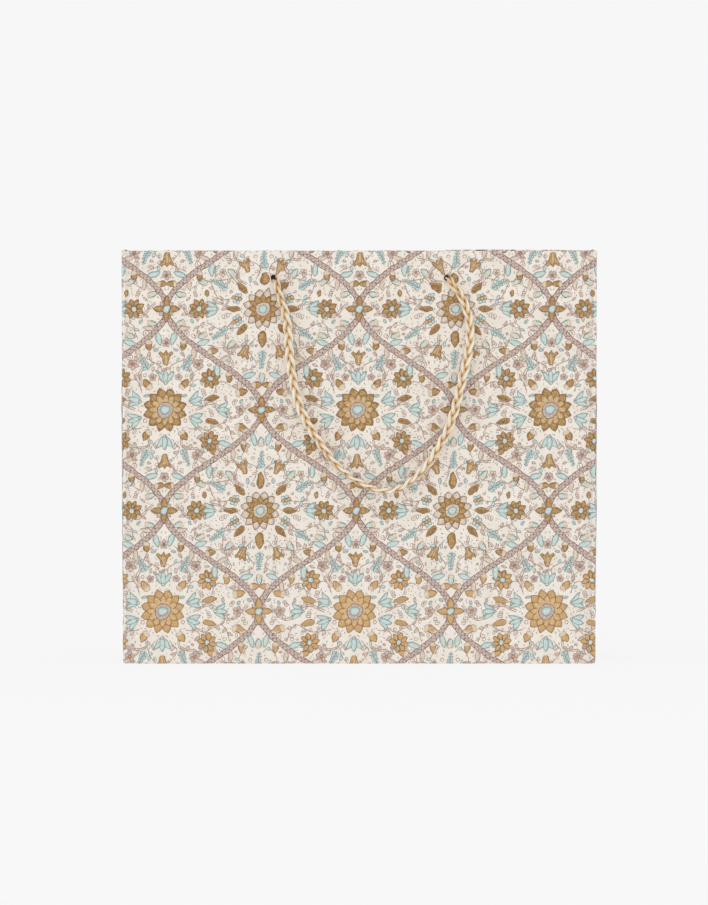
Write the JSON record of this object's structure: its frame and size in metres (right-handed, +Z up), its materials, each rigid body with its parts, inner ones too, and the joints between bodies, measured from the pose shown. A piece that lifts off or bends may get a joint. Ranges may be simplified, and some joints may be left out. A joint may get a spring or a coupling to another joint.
{
  "type": "gift bag",
  "caption": "Open-topped gift bag of printed handmade paper with a turned-in hem, folding gussets, a carded base and plaited rope handles",
  "frame": {"origin": "middle of the base, where the bag stands on a surface", "axes": "+Z up, +X along the long side of the mouth, +Y from the front panel to the back panel; the front faces -Y"},
  "size_m": [0.23, 0.1019, 0.2],
  "materials": {
    "printed_paper": "matte handmade cotton paper, block printed in gold, aqua and mauve",
    "lining_paper": "plain matte inside of the sheet",
    "card": "matte grey-brown board",
    "cord": "silky plaited cord"
  },
  "bodies": {
    "front": {"front_panel": "printed_paper", "front_card_strip": "card", "front_hem": "printed_paper", "front_knot_left": "cord", "front_knot_right": "cord"},
    "left_front": {"left_gusset_front": "printed_paper", "left_hem_front": "printed_paper"},
    "left_rear": {"left_gusset_rear": "printed_paper", "left_hem_rear": "printed_paper"},
    "back": {"back_panel": "printed_paper", "back_card_strip": "card", "back_hem": "printed_paper", "seam_tab": "lining_paper", "back_knot_left": "cord", "back_knot_right": "cord"},
    "right_front": {"right_gusset_front": "printed_paper", "right_hem_front": "printed_paper"},
    "right_rear": {"right_gusset_rear": "printed_paper", "right_hem_rear": "printed_paper"},
    "back_foot": {"back_lower_panel": "printed_paper"},
    "base": {"bottom_rear_flap": "printed_paper", "bottom_front_flap": "printed_paper", "bottom_left_flap": "printed_paper", "bottom_right_flap": "printed_paper", "base_card": "card"},
    "front_handle": {"front_cord": "cord"},
    "back_handle": {"back_cord": "cord"}
  },
  "joints": [
    {"name": "fold_flat", "type": "hinge", "parent": "front", "child": "left_front", "pos_m": [-0.1145, -0.0408, 0.1], "axis": [0, 0, -1], "range_deg": [0, 85]},
    {"name": "left_gusset_crease", "type": "hinge", "parent": "left_front", "child": "left_rear", "pos_m": [-0.11515, 0, 0.1], "axis": [0, 0, 1], "range_deg": [0, 170]},
    {"name": "back_left_crease", "type": "hinge", "parent": "left_rear", "child": "back", "pos_m": [-0.1145, 0.0408, 0.1], "axis": [0, 0, -1], "range_deg": [0, 85]},
    {"name": "right_front_crease", "type": "hinge", "parent": "front", "child": "right_front", "pos_m": [0.1145, -0.0408, 0.1], "axis": [0, 0, 1], "range_deg": [0, 85]},
    {"name": "right_gusset_crease", "type": "hinge", "parent": "right_front", "child": "right_rear", "pos_m": [0.11515, 0, 0.1], "axis": [0, 0, -1], "range_deg": [0, 170]},
    {"name": "back_foot_crease", "type": "hinge", "parent": "back", "child": "back_foot", "pos_m": [0, 0.0442, 0.044], "axis": [1, 0, 0], "range_deg": [0, 170]},
    {"name": "base_crease", "type": "hinge", "parent": "back_foot", "child": "base", "pos_m": [0, 0.0432, 0.0033], "axis": [-1, 0, 0], "range_deg": [0, 85]},
    {"name": "front_handle_swing", "type": "hinge", "parent": "front", "child": "front_handle", "pos_m": [0.0007, -0.0466, 0.187], "axis": [-1, 0, 0], "range_deg": [0, 180]},
    {"name": "back_handle_swing", "type": "hinge", "parent": "back", "child": "back_handle", "pos_m": [0.0007, 0.0466, 0.187], "axis": [1, 0, 0], "range_deg": [0, 180]}
  ],
  "couplings": [
    {"joint": "left_gusset_crease", "follows": "fold_flat", "ratio": 2},
    {"joint": "back_left_crease", "follows": "fold_flat", "ratio": 1},
    {"joint": "right_front_crease", "follows": "fold_flat", "ratio": 1},
    {"joint": "right_gusset_crease", "follows": "fold_flat", "ratio": 2},
    {"joint": "back_foot_crease", "follows": "fold_flat", "ratio": 2},
    {"joint": "base_crease", "follows": "fold_flat", "ratio": 1}
  ]
}
